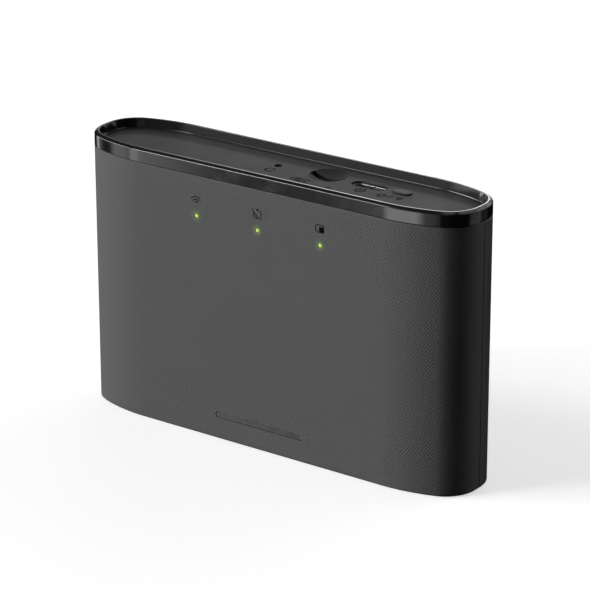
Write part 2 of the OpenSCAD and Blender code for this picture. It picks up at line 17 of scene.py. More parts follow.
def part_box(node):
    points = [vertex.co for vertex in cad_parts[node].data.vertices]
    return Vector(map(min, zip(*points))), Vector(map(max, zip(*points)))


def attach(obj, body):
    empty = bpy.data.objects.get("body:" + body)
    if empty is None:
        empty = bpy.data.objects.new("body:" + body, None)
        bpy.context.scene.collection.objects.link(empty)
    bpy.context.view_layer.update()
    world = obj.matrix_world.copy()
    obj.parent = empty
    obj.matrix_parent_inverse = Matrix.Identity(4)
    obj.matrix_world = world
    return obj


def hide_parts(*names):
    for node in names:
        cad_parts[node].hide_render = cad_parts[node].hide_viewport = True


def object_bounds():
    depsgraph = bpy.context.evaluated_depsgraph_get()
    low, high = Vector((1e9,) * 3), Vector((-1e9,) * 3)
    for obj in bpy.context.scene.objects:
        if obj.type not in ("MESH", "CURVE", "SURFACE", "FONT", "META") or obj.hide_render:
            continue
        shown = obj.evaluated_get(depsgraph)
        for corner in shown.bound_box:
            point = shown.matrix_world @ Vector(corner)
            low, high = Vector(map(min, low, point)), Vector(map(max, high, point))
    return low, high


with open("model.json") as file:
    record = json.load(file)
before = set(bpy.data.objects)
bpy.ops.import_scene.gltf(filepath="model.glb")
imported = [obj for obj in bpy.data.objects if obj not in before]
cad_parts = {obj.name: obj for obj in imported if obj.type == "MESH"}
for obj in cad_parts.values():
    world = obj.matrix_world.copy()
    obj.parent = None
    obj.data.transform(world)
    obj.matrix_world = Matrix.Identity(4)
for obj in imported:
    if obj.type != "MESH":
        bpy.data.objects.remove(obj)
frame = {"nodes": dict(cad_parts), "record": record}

random.seed(7)
NODES = frame["nodes"]
NODE_SLOT = {part["node"]: part["material_slot"] for part in frame["record"]["subparts"]}
SCENE = bpy.context.scene


def mm_box(node):
    """Lowest and highest corner of a CAD piece, in millimetres."""
    low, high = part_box(node)
    return [v * 1000 for v in low], [v * 1000 for v in high]


def mm_centre(node):
    return [(a + b) / 2 for a, b in zip(*mm_box(node))]


# ---------------------------------------------------------------- driving sizes, mm
bounds_low, bounds_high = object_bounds()
WIDTH = round((bounds_high.x - bounds_low.x) * 1000, 3)
DEPTH = round((bounds_high.y - bounds_low.y) * 1000, 3)
HEIGHT = round(bounds_high.z * 1000, 3)
HALF_W, HALF_D = WIDTH / 2, DEPTH / 2

front_high = mm_box("front_shell")[1]
PANEL_Z = mm_box("control_panel")[1][2]     # upper face of the panel
TOP_GAP = 0.02                              # the shells stop this far below BODY_TOP
BODY_TOP = front_high[2] + TOP_GAP
FRONT_SEAM = front_high[1]                  # y of each shell's seam face
REAR_SEAM = FRONT_SEAM + 0.1
SEAM_ROUND = 0.12
WALL = 1.8
FRONT_IN = -HALF_D + WALL                   # inner face of the front wall
TONGUE_GAP = 0.1                            # rear tongue, in from the middle of the wall
REBATE = WALL / 2 + 0.03                    # wall left outside the front shell's rebate

# Status lights
pipe_low, pipe_high = mm_box("light_pipes")
COLLAR_R = 1.6
LIGHT_Z = (pipe_low[2] + pipe_high[2]) / 2
PITCH = (pipe_high[0] - pipe_low[0] - 2 * COLLAR_R) / 2
LIGHT_X = [i * PITCH for i in (-1, 0, 1)]
LIGHT_HOLE_R = 0.6

# Fixings inside the case
POST_X, POST_Z = HALF_W - 8.5, (10, 50)
HOOK_X = (-28, 0, 28)

# Inlay strip on the front
strip_low, strip_high = mm_box("front_inlay_strip")
STRIP_Z = (strip_low[2] + strip_high[2]) / 2
STRIP_L, STRIP_W = strip_high[0] - strip_low[0], strip_high[2] - strip_low[2]
STRIP_PLAY = 0.1                            # recess longer and wider than the strip by this

# Openings in the panel
SIM_X, sim_middle_y, _ = mm_centre("nano_sim_card")
SIM_Y = sim_middle_y + 0.055
USB_X, USB_Y, _ = mm_centre("usb_c_shell")
KEY_X, KEY_Y, _ = mm_centre("power_button")
RESET_X, RESET_Y, _ = mm_centre("reset_switch_plunger")
KEY_HOLE_L, KEY_HOLE_W = 5.0, 2.54
KEY_PLAY = 0.16                             # key cap shorter and narrower than its hole by this
RING_INSIDE = 1.71                          # ring's inner face, in from the outline

# ---------------------------------------------------------------- outline of the case
# Each quarter is a flat, a wide shallow bow tangent to it, and a tighter end arc.
END_SWEEP = radians(70.9)
END_R = 0.372 * DEPTH
END_Y = 0.048 * DEPTH
END_X = HALF_W - END_R
BOW_R = (HALF_D - END_Y - END_R * sin(END_SWEEP)) / (1 - sin(END_SWEEP))
BOW_X = END_X - (BOW_R - END_R) * cos(END_SWEEP)
BOW_Y = END_Y - (BOW_R - END_R) * sin(END_SWEEP)
BOW_RUN = BOW_X + BOW_R * (pi / 2 - END_SWEEP)      # run from the middle to the end of the bow
END_RUN = BOW_RUN + END_R * END_SWEEP
CASE_STEPS = (14, 24, 48)                           # steps on the flat, the bow and the end arc
RING_STEPS = (20, 40, 72)

# A point on the outline, its outward normal, the run along the outline from the middle, and how
# far the outer face steps in there.
Station = namedtuple("Station", "x y nx ny run inset", defaults=(0.0,))


def quarter_outline(flat_steps, bow_steps, end_steps):
    """Stations from x = 0 to the right end, on the y > 0 side."""
    stations = []
    for i in range(flat_steps):
        x = BOW_X * i / flat_steps
        stations.append(Station(x, HALF_D, 0.0, 1.0, x))
    for i in range(bow_steps):
        a = pi / 2 - (pi / 2 - END_SWEEP) * i / bow_steps
        stations.append(Station(BOW_X + BOW_R * cos(a), BOW_Y + BOW_R * sin(a), cos(a), sin(a),
                                BOW_X + BOW_R * (pi / 2 - a)))
    for i in range(end_steps + 1):
        a = END_SWEEP * (1 - i / end_steps)
        stations.append(Station(END_X + END_R * cos(a), END_Y + END_R * sin(a), cos(a), sin(a),
                                BOW_RUN + END_R * (END_SWEEP - a)))
    return stations


def mirror(st, sign_x, sign_y):
    return Station(st.x * sign_x, st.y * sign_y, st.nx * sign_x, st.ny * sign_y,
                   st.run * sign_x, st.inset)


def half_outline(side, seam):
    """Front (side -1) or rear (side 1) half, left seam to right seam, rounded at the seams."""
    right = [mirror(st, 1, side) for st in quarter_outline(*CASE_STEPS)]
    end_y = side * END_Y
    edge = [seam + side * SEAM_ROUND * (1 - cos(k * pi / 12)) for k in range(6, 0, -1)]
    for y in [(end_y + edge[0]) / 2] + edge + [seam]:
        depth = abs(y - seam)
        inset = 0.0
        if depth < SEAM_ROUND:
            inset = SEAM_ROUND - sqrt(max(0.0, SEAM_ROUND ** 2 - (SEAM_ROUND - depth) ** 2))
        right.append(Station(HALF_W, y, 1.0, 0.0, END_RUN + abs(y - end_y), inset))
    return [mirror(st, -1, 1) for st in reversed(right[1:])] + right


def closed_outline(steps):
    """The whole outline, anticlockwise from the middle of the front."""
    quarter = quarter_outline(*steps)
    front_right = [mirror(st, 1, -1) for st in quarter]
    rear_right = quarter[::-1]
    rear_left = [mirror(st, -1, 1) for st in quarter[1:]]
    front_left = [mirror(st, -1, -1) for st in reversed(quarter[1:])]
    return front_right + rear_right + rear_left + front_left


# ---------------------------------------------------------------- profiles
def fillet(corners, steps=4, closed=False):
    """Rounds a polygon of (offset, z, radius) corners into (offset, z) points."""
    points = []
    last = len(corners) - 1
    for i, (offset, z, radius) in enumerate(corners):
        if radius <= 0 or (not closed and i in (0, last)):
            points.append((offset, z))
            continue
        corner = Vector((offset, z))
        before = Vector(corners[i - 1][:2]) - corner
        after = Vector(corners[(i + 1) % len(corners)][:2]) - corner
        shorter = min(before.length, after.length)
        before, after = before.normalized(), after.normalized()
        half = acos(max(-1, min(1, before.dot(after)))) / 2
        if half > radians(89.5):            # all but straight: nothing to round
            points.append((offset, z))
            continue
        radius = min(radius, 0.49 * shorter * tan(half))
        centre = corner + (before + after).normalized() * (radius / sin(half))
        start = corner + before * (radius / tan(half)) - centre
        end = corner + after * (radius / tan(half)) - centre
        sweep = atan2(start.x * end.y - start.y * end.x, start.dot(end))
        for k in range(steps + 1):
            a = sweep * k / steps
            points.append((centre.x + start.x * cos(a) - start.y * sin(a),
                           centre.y + start.x * sin(a) + start.y * cos(a)))
    return points


def edge_arc(across, height, reach, rise, steps=4):
    """A quarter ellipse from (across, height), upright at first, that ends reach and rise away."""
    angles = [k * pi / (2 * steps) for k in range(1, steps + 1)]
    return [(across + reach * (1 - cos(a)), height + rise * sin(a)) for a in angles]


def span(middle, half):
    return (middle - half, middle + half)


# ---------------------------------------------------------------- mesh helpers
def new_object(verts, faces, uvs=None):
    """A draft object, in millimetres; finish_part names it."""
    mesh = bpy.data.meshes.new("draft")
    mesh.from_pydata(verts, [], faces)
    if uvs:
        layer = mesh.uv_layers.new(name="surface")
        for loop in mesh.loops:
            layer.data[loop.index].uv = uvs[loop.vertex_index]
    obj = bpy.data.objects.new("draft", mesh)
    SCENE.collection.objects.link(obj)
    bm = bmesh.new()
    bm.from_mesh(mesh)
    bmesh.ops.dissolve_degenerate(bm, edges=bm.edges, dist=1e-5)
    bmesh.ops.recalc_face_normals(bm, faces=bm.faces)
    bm.to_mesh(mesh)
    bm.free()
    return obj


def remove(obj):
    mesh = obj.data
    bpy.data.objects.remove(obj)
    bpy.data.meshes.remove(mesh)


def grid_faces(rows, cols, wrap_rows, wrap_cols):
    faces = []
    for i in range(rows if wrap_rows else rows - 1):
        below = (i + 1) % rows * cols
        for k in range(cols if wrap_cols else cols - 1):
            beside = (k + 1) % cols
            faces.append((i * cols + k, i * cols + beside, below + beside, below + k))
    return faces


def cap_faces(rows, cols):
    """Faces that close the first and the last column of a grid."""
    return [tuple(i * cols for i in range(rows)),
            tuple(i * cols + cols - 1 for i in reversed(range(rows)))]


def outline_grid(path, profile):
    """Vertices and UVs of an (offset, z) profile carried along the outline, offset inwards."""
    verts, uvs = [], []
    for st in path:
        for offset, z in profile:
            # The seam rounding moves only the outer face, above the bottom edge
            if offset < WALL - 0.3 and z > 0.2:
                offset += st.inset
            verts.append((st.x - offset * st.nx, st.y - offset * st.ny, z))
            uvs.append((st.run / 1000, z / 1000))
    return verts, uvs


def oriented(verts, centre, axis):
    """Seats vertices at centre, with their third coordinate along Z or towards -Y."""
    if axis == "-Y":
        verts = [(x, -z, y) for x, y, z in verts]
    return [(x + centre[0], y + centre[1], z + centre[2]) for x, y, z in verts]


def lathe(profile, centre, axis="Z", steps=96, start=0.0):
    """A profile of (radius, height) points turned about an axis; its ends lie on the axis."""
    body = profile[1:-1]
    verts = []
    for i in range(steps):
        a = 2 * pi * (i + start) / steps
        verts += [(r * cos(a), r * sin(a), h) for r, h in body]
    faces = grid_faces(steps, len(body), True, False)
    for end, k in ((profile[0], 0), (profile[-1], len(body) - 1)):
        hub = len(verts)
        verts.append((0, 0, end[1]))
        for i in range(steps):
            faces.append((hub, i * len(body) + k, ((i + 1) % steps) * len(body) + k))
    return new_object(oriented(verts, centre, axis), faces)


def rod_profile(radius, low, high):
    return [(0, low), (radius, low), (radius, high), (0, high)]


def rod_y(x, z, radius, y_low, y_high, steps=48, start=0.0):
    return lathe(rod_profile(radius, -y_high, -y_low), (x, 0, z), "-Y", steps, start)


def pill(centre, length, width, profile, axis="Z", steps=24):
    """A pill-shaped solid; its profile of (offset, height) points runs from rim to rim."""
    verts = []
    for side in (1, -1):
        for i in range(steps + 1):
            a = -pi / 2 + pi * i / steps
            x = side * ((length - width) / 2 + width / 2 * cos(a))
            y = side * width / 2 * sin(a)
            verts += [(x - offset * side * cos(a), y - offset * side * sin(a), h)
                      for offset, h in profile]
    rows, cols = 2 * (steps + 1), len(profile)
    faces = grid_faces(rows, cols, True, False) + cap_faces(rows, cols)
    return new_object(oriented(verts, centre, axis), faces)


def block(x_span, y_span, z_span, radius=0.0, segments=2):
    verts = [(x, y, z) for x in x_span for y in y_span for z in z_span]
    faces = [(0, 1, 3, 2), (4, 6, 7, 5), (0, 4, 5, 1), (2, 3, 7, 6), (0, 2, 6, 4), (1, 5, 7, 3)]
    obj = new_object(verts, faces)
    if radius > 0:
        bm = bmesh.new()
        bm.from_mesh(obj.data)
        bmesh.ops.bevel(bm, geom=list(bm.edges), offset=radius, segments=segments, profile=0.5,
                        affect="EDGES", clamp_overlap=True)
        bm.to_mesh(obj.data)
        bm.free()
    return obj


def boolean(base, tools, operation="DIFFERENCE"):
    """Applies the tools to base one after another and removes them."""
    for tool in tools:
        modifier = base.modifiers.new("cut", "BOOLEAN")
        modifier.operation, modifier.solver, modifier.object = operation, "EXACT", tool
        graph = bpy.context.evaluated_depsgraph_get()
        mesh = bpy.data.meshes.new_from_object(base.evaluated_get(graph))
        base.modifiers.clear()
        old, base.data = base.data, mesh
        bpy.data.meshes.remove(old)
        remove(tool)


def join(objects):
    """Several closed meshes in one object."""
    verts, faces = [], []
    for obj in objects:
        base = len(verts)
        verts += [tuple(v.co) for v in obj.data.vertices]
        faces += [tuple(base + i for i in p.vertices) for p in obj.data.polygons]
        remove(obj)
    return new_object(verts, faces)


def finish_part(obj, name, slot, angle, replaces=None, body="casing", material=None):
    """Scales a draft to metres, shades it with edges sharp above angle degrees, and seats it.
    The material is the slot's own unless one is named."""
    mesh = obj.data
    mesh.transform(Matrix.Scale(0.001, 4))
    mesh.validate()
    mesh.name = obj.name = name
    bm = bmesh.new()
    bm.from_mesh(mesh)
    if any(len(e.link_faces) != 2 for e in bm.edges):
        bmesh.ops.remove_doubles(bm, verts=bm.verts, dist=1e-6)
    bmesh.ops.recalc_face_normals(bm, faces=bm.faces)
    for face in bm.faces:
        face.smooth = True
    for edge in bm.edges:
        if len(edge.link_faces) == 2 and edge.calc_face_angle(0) > radians(angle):
            edge.smooth = False
    bm.to_mesh(mesh)
    bm.free()
    obj.modifiers.new("normals", "WEIGHTED_NORMAL").keep_sharp = True
    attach(obj, body)
    if replaces:
        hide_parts(replaces)
    mesh.materials.clear()
    mesh.materials.append(MATERIALS[material or slot])


# ---------------------------------------------------------------- node helpers
MATERIALS = {}
DRIFT = (0.3, 0.7)              # the part of a noise's range over which tone and gloss drift


class Tree:
    """Short calls for building the node tree of a material or a world."""

    def __init__(self, owner):
        self.nodes, self.links = owner.node_tree.nodes, owner.node_tree.links

    def add(self, kind, **props):
        node = self.nodes.new(kind)
        for key, value in props.items():
            setattr(node, key, value)
        return node

    def find(self, kind):
        return next(node for node in self.nodes if node.type == kind)

    def put(self, socket, value):
        if isinstance(value, bpy.types.NodeSocket):
            self.links.new(value, socket)
        else:
            socket.default_value = value

    def math(self, operation, *values, clamp=False):
        node = self.add("ShaderNodeMath", operation=operation, use_clamp=clamp)
        for socket, value in zip(node.inputs, values):
            self.put(socket, value)
        return node.outputs[0]

    def product(self, *values):
        total = values[0]
        for value in values[1:]:
            total = self.math("MULTIPLY", total, value)
        return total

    def split(self, vector):
        node = self.add("ShaderNodeSeparateXYZ")
        self.put(node.inputs[0], vector)
        return node.outputs

    def scaled(self, vector, scale):
        node = self.add("ShaderNodeMapping")
        node.inputs["Scale"].default_value = scale
        self.put(node.inputs["Vector"], vector)
        return node.outputs[0]

    def ramp(self, value, within, to=(0.0, 1.0), smooth=True):
        node = self.add("ShaderNodeMapRange", clamp=True,
                        interpolation_type="SMOOTHSTEP" if smooth else "LINEAR")
        for socket, number in zip(node.inputs, (value, *within, *to)):
            self.put(socket, number)
        return node.outputs[0]

    def noise(self, vector, scale, detail=3.0, rough=0.55):
        node = self.add("ShaderNodeTexNoise")
        self.put(node.inputs["Vector"], vector)
        node.inputs["Scale"].default_value = scale
        node.inputs["Detail"].default_value = detail
        node.inputs["Roughness"].default_value = rough
        return node.outputs["Fac"]

    def voronoi(self, vector, scale, **props):
        node = self.add("ShaderNodeTexVoronoi", **props)
        self.put(node.inputs["Vector"], vector)
        node.inputs["Scale"].default_value = scale
        return node.outputs["Distance"]

    def mix(self, factor, first, second):
        """Blends two colours, each a socket or an RGB triple."""
        node = self.add("ShaderNodeMix", data_type="RGBA")
        self.put(node.inputs[0], factor)
        for index, colour in ((6, first), (7, second)):
            self.put(node.inputs[index], (*colour, 1) if isinstance(colour, tuple) else colour)
        return node.outputs[2]

    def surface(self, **inputs):
        """Sets inputs of the Principled shader: Base_Color stands for "Base Color"."""
        for key, value in inputs.items():
            self.put(self.bsdf.inputs[key.replace("_", " ")], value)


def new_material(name):
    material = bpy.data.materials.new(name)
    material.use_nodes = True
    MATERIALS[name] = material
    t = Tree(material)
    t.bsdf = t.find("BSDF_PRINCIPLED")
    t.coord = t.add("ShaderNodeTexCoord").outputs["Object"]
    return t


def shade(t, colour, rough, bump=None, height=0.0, strength=1.0, metal=0.0, specular=0.5):
    """Wires up the shader; height is the depth of the bump in metres."""
    t.surface(Base_Color=colour, Roughness=rough, Metallic=metal, Specular_IOR_Level=specular,
              Coat_Roughness=0.05)
    if bump is not None:
        node = t.add("ShaderNodeBump")
        node.inputs["Strength"].default_value = strength
        node.inputs["Distance"].default_value = height
        t.put(node.inputs["Height"], bump)
        t.surface(Normal=node.outputs[0])


def plain(name, dark, light, rough, scale=400, grain=3000, height=0.000006, spread=0.08,
          metal=0.0, specular=0.5, stretch=None):
    """A moulded or machined finish with fine surface grain.

    Its tone drifts between dark and light, and its roughness by spread, over noise of this scale.
    grain and height are the scale and depth of the bump; stretch scales the noise along each axis.
    """
    t = new_material(name)
    vector = t.scaled(t.coord, stretch) if stretch else t.coord
    big = t.noise(vector, scale=scale, detail=4)
    fine = t.noise(vector, scale=grain, rough=0.6)
    gloss = t.ramp(big, within=DRIFT, to=(max(0.02, rough - spread), min(1.0, rough + spread)))
    ripple = t.product(t.math("SUBTRACT", fine, 0.5), spread * 0.8)
    gloss = t.math("ADD", gloss, ripple, clamp=True)
    shade(t, t.mix(t.ramp(big, within=DRIFT), dark, light), gloss, bump=fine, height=height,
          metal=metal, specular=specular)


def light_radius(t):
    """Distance from the axis of the nearest status light, in metres."""
    x, _, z = t.split(t.coord)
    step = PITCH / 1000
    index = t.math("ROUND", t.math("DIVIDE", x, step))
    index = t.math("MINIMUM", t.math("MAXIMUM", index, -1.0), 1.0)
    dx = t.math("SUBTRACT", x, t.product(index, step))
    dz = t.math("SUBTRACT", z, LIGHT_Z / 1000)
    return t.math("SQRT", t.math("ADD", t.product(dx, dx), t.product(dz, dz)))


# ---------------------------------------------------------------- materials
def textured_case():
    """Front shell: matt black plastic with a fine moulded pattern of staggered studs."""
    stud_x, stud_z = 0.00078, 0.00095       # period of the pattern, metres
    t = new_material("textured_case")
    run, height, _ = t.split(t.add("ShaderNodeUVMap", uv_map="surface").outputs[0])
    wave_x = t.math("COSINE", t.product(run, 2 * pi / stud_x))
    wave_z = t.math("COSINE", t.product(height, 2 * pi / stud_z))
    stud = t.ramp(t.product(wave_x, wave_z), within=(-0.25, 0.9))
    # Only the upright wall carries the pattern, and it fades towards both edges
    normal_z = t.split(t.add("ShaderNodeNewGeometry").outputs["Normal"])[2]
    upright = t.ramp(t.math("ABSOLUTE", normal_z), within=(0.15, 0.4), to=(1.0, 0.0))
    fade_low = t.ramp(height, within=(0.0006, 0.0012))
    fade_high = t.ramp(height, within=((BODY_TOP - 0.9) / 1000, (BODY_TOP - 0.5) / 1000),
                       to=(1.0, 0.0))
    mask = t.product(upright, fade_low, fade_high)
    fine = t.noise(t.coord, scale=5200, rough=0.6)
    big = t.noise(t.coord, scale=45, rough=0.5)
    relief = t.math("ADD", t.product(stud, mask, 1.0), t.product(fine, 0.12))
    rough = t.math("ADD", t.ramp(big, within=DRIFT, to=(0.50, 0.56)), t.product(stud, -0.05),
                   clamp=True)
    tone = t.math("ADD", t.product(t.ramp(big, within=DRIFT), 0.3),
                  t.product(stud, t.product(mask, 0.7)))
    shade(t, t.mix(tone, (0.036, 0.036, 0.037), (0.062, 0.062, 0.063)), rough,
          bump=relief, height=0.000055)
    # Painted glow: emission round each hole stands in for the lights shining a little way into the
    # plastic
    glow = t.ramp(light_radius(t), within=(0.0004, 0.0020), to=(1.0, 0.0), smooth=False)
    painted_halo = t.math("POWER", glow, 2.0)
    t.surface(Emission_Color=(0.42, 0.80, 0.02, 1), Emission_Strength=t.product(painted_halo, 0.13))


def gloss_band():
    """Trim ring: polished black plastic with faint drift and smudges."""
    t = new_material("gloss_band")
    big = t.noise(t.coord, scale=60, rough=0.5)
    fine = t.noise(t.coord, scale=2400, detail=2, rough=0.5)
    smudge = t.ramp(t.noise(t.coord, scale=150, detail=5, rough=0.65),
                    within=(0.45, 0.8), to=(0.0, 0.05))
    colour = t.mix(t.ramp(big, within=DRIFT), (0.012, 0.012, 0.013), (0.016, 0.016, 0.017))
    rough = t.math("ADD", t.ramp(big, within=DRIFT, to=(0.08, 0.11)), smudge)
    shade(t, colour, rough, bump=fine, height=0.0000008, strength=0.6)


def circuit_board():
    """Solder mask with raised tracks and tiny copper vias, the same at any depth in Y."""
    t = new_material("circuit_board")
    flat = t.scaled(t.coord, (1, 0.0, 1))
    edges = t.voronoi(flat, scale=330, feature="DISTANCE_TO_EDGE", distance="MANHATTAN")
    track = t.ramp(edges, within=(0.05, 0.09), to=(1.0, 0.0))
    via = t.ramp(t.voronoi(flat, scale=520), within=(0.10, 0.16), to=(1.0, 0.0))
    mask = t.mix(track, (0.010, 0.075, 0.030), (0.025, 0.15, 0.055))
    shade(t, t.mix(via, mask, (0.45, 0.30, 0.12)), t.ramp(track, within=(0, 1), to=(0.38, 0.30)),
          bump=t.math("ADD", track, via), height=0.00002, strength=0.5)


def light_pipe():
    """Light guides: clear plastic, brightest on the axis."""
    t = new_material("light_pipe")
    core = t.ramp(light_radius(t), within=(0.00004, 0.00064), to=(1.0, 0.0))
    grain = t.noise(t.coord, scale=3500, detail=2)
    t.surface(
        Base_Color=t.mix(grain, (0.10, 0.16, 0.05), (0.13, 0.20, 0.06)),
        Roughness=t.ramp(grain, within=DRIFT, to=(0.18, 0.26)),
        Specular_IOR_Level=0.2,
        Emission_Color=t.mix(core, (0.10, 0.155, 0.012), (0.60, 0.76, 0.17)),
        Emission_Strength=t.ramp(core, within=(0.0, 1.0), to=(0.85, 1.0)))


textured_case()
plain("smooth_case", dark=(0.043, 0.043, 0.044), light=(0.050, 0.050, 0.051), rough=0.46,
      scale=45, grain=5200, spread=0.03)
gloss_band()
plain("satin_panel", dark=(0.016, 0.016, 0.0165), light=(0.020, 0.020, 0.0205), rough=0.50,
      scale=45, grain=6500, height=0.000005, specular=0.28, spread=0.03)
plain("gloss_inlay", dark=(0.006, 0.006, 0.006), light=(0.009, 0.009, 0.009), rough=0.22,
      scale=300, height=0.000001, spread=0.04)
plain("button_plastic", dark=(0.016, 0.016, 0.0165), light=(0.020, 0.020, 0.0205), rough=0.47,
      scale=120, grain=6500, height=0.000004, specular=0.28, spread=0.04)
plain("switch_plunger", dark=(0.55, 0.53, 0.47), light=(0.62, 0.60, 0.54), rough=0.45,
      spread=0.05)
plain("switch_plastic", dark=(0.012, 0.012, 0.013), light=(0.02, 0.02, 0.021), rough=0.5)
plain("stamped_steel", dark=(0.60, 0.61, 0.62), light=(0.72, 0.73, 0.74), rough=0.30,
      metal=1.0, grain=900, height=0.000003, stretch=(1, 1, 9), spread=0.07)
plain("contact_gold", dark=(0.80, 0.56, 0.22), light=(0.92, 0.68, 0.30), rough=0.24,
      metal=1.0, height=0.000002)
plain("slider_plastic", dark=(0.30, 0.30, 0.28), light=(0.36, 0.36, 0.33), rough=0.5)
plain("spring_steel", dark=(0.50, 0.51, 0.53), light=(0.62, 0.63, 0.65), rough=0.26,
      metal=1.0, height=0.000002)
plain("card_plastic", dark=(0.010, 0.010, 0.011), light=(0.018, 0.018, 0.02), rough=0.42)
plain("connector_steel", dark=(0.38, 0.385, 0.39), light=(0.48, 0.485, 0.49), rough=0.27,
      metal=1.0, grain=1500, height=0.000002, spread=0.05)
plain("chip_epoxy", dark=(0.012, 0.012, 0.014), light=(0.022, 0.022, 0.024), rough=0.62,
      grain=9000, height=0.000008)
plain("ferrite", dark=(0.035, 0.035, 0.038), light=(0.06, 0.06, 0.063), rough=0.7,
      grain=5000, height=0.00002)
plain("capacitor_ceramic", dark=(0.34, 0.25, 0.15), light=(0.42, 0.32, 0.20), rough=0.38)
plain("led_body", dark=(0.60, 0.58, 0.40), light=(0.72, 0.70, 0.50), rough=0.3)
plain("frame_plastic", dark=(0.055, 0.055, 0.058), light=(0.075, 0.075, 0.078), rough=0.55,
      grain=4200, height=0.00001)
plain("screw_steel", dark=(0.42, 0.43, 0.45), light=(0.56, 0.57, 0.59), rough=0.30,
      metal=1.0, height=0.000004)
plain("battery_foil", dark=(0.40, 0.42, 0.45), light=(0.52, 0.54, 0.57), rough=0.34,
      metal=0.75, grain=700, height=0.00003)
plain("adhesive_tape", dark=(0.66, 0.60, 0.38), light=(0.74, 0.68, 0.46), rough=0.32)
plain("foam", dark=(0.03, 0.03, 0.032), light=(0.06, 0.06, 0.063), rough=0.95,
      grain=2200, height=0.00008)
plain("red_insulation", dark=(0.42, 0.012, 0.010), light=(0.52, 0.022, 0.016), rough=0.4)
plain("black_insulation", dark=(0.012, 0.012, 0.012), light=(0.022, 0.022, 0.023), rough=0.42)
plain("plug_nylon", dark=(0.70, 0.68, 0.58), light=(0.78, 0.76, 0.66), rough=0.45)
plain("antenna_copper", dark=(0.66, 0.32, 0.14), light=(0.78, 0.42, 0.20), rough=0.30,
      metal=0.9, height=0.000004)
plain("thermal_pad", dark=(0.28, 0.33, 0.40), light=(0.34, 0.39, 0.47), rough=0.85,
      grain=1800, height=0.00003)
plain("spreader_aluminium", dark=(0.62, 0.63, 0.64), light=(0.74, 0.75, 0.76), rough=0.36,
      metal=1.0, grain=500, stretch=(1, 1, 14))
circuit_board()
light_pipe()
plain("mark_ink", dark=(0.002, 0.002, 0.002), light=(0.004, 0.004, 0.004), rough=0.8,
      scale=900, grain=9000, height=0.000002, specular=0.02)
plain("tongue_resin", dark=(0.010, 0.010, 0.010), light=(0.016, 0.016, 0.017), rough=0.45,
      scale=700)

for node_name, node_object in NODES.items():
    slots = node_object.data.materials
    for i in range(max(1, len(node_object.material_slots))):
        if i < len(slots):
            slots[i] = MATERIALS[NODE_SLOT[node_name]]
        else:
            slots.append(MATERIALS[NODE_SLOT[node_name]])


# ---------------------------------------------------------------- shells
def shell(side, seam):
    """One half of the case as a closed solid: wall, floor and rounded outer edges."""
    top = BODY_TOP - TOP_GAP
    profile = fillet([
        # in from the outline, z, corner radius
        (1.6, 0.0, 0), (0.4, 0.0, 0.25), (0.0, 0.4, 0.25), (0.0, top - 0.15, 0.12),
        (0.15, top, 0.08), (WALL, top, 0.06), (WALL, WALL, 0)])
    path = half_outline(side, seam)
    verts, uvs = outline_grid(path, profile)
    rows, cols = len(path), len(profile)
    faces = grid_faces(rows, cols, False, False) + cap_faces(rows, cols)
    seam_end = (rows - 1) * cols
    faces.append(tuple(range(cols)) + tuple(seam_end + k for k in reversed(range(cols))))
    return new_object(verts, faces, uvs)


def light_hole(x):
    """Cutter for a light's hole, with a softly rounded mouth on the front."""
    mouth_reach, mouth_depth = 0.07, 0.09
    profile = [(0, -(FRONT_IN + 1)), (LIGHT_HOLE_R, -(FRONT_IN + 1)),
               (LIGHT_HOLE_R, HALF_D - mouth_depth)]
    profile += edge_arc(LIGHT_HOLE_R, HALF_D - mouth_depth, mouth_reach, mouth_depth)
    profile += [(LIGHT_HOLE_R + mouth_reach, HALF_D + 1), (0, HALF_D + 1)]
    return lathe(profile, (x, 0, LIGHT_Z), "-Y", 48)


def front_case():
    front = shell(-1, FRONT_SEAM)
    posts = [(side * POST_X, z) for side in (-1, 1) for z in POST_Z]
    adds = [rod_y(x, z, 2.2, -HALF_D + 2.8, -0.8) for x, z in posts]
    adds += [block(span(x, 0.5), (FRONT_IN - 0.3, FRONT_IN + 1.6), (WALL - 0.2, LIGHT_Z - 5))
             for x in (-35, 35)]
    boolean(front, adds, "UNION")
    # Bores in the posts
    cuts = [rod_y(x, z, 1.0, -5.6, 0.5, steps=32, start=0.37) for x, z in posts]
    # Rebate for the rear shell's tongue
    cuts.append(block(span(0, HALF_W - REBATE), (-0.75, FRONT_SEAM + 1), (REBATE, BODY_TOP + 1)))
    cuts += [light_hole(x) for x in LIGHT_X]
    # Recess for the inlay strip, flared at its mouth
    cuts.append(pill((0, 0, STRIP_Z), STRIP_L + STRIP_PLAY, STRIP_W + STRIP_PLAY,
                     [(0, HALF_D - 0.5), (0, HALF_D - 0.06), (-0.03, HALF_D - 0.02),
                      (-0.07, HALF_D), (-0.07, HALF_D + 1)], "-Y"))
    # Slots in the floor for the rear shell's hooks
    cuts += [block(span(x, 2.7), (-3.4, -2.25), (WALL - 0.6, WALL + 0.1)) for x in HOOK_X]
    boolean(front, cuts)
    finish_part(front, "front_case_shell", "textured_case", angle=30, replaces="front_shell")


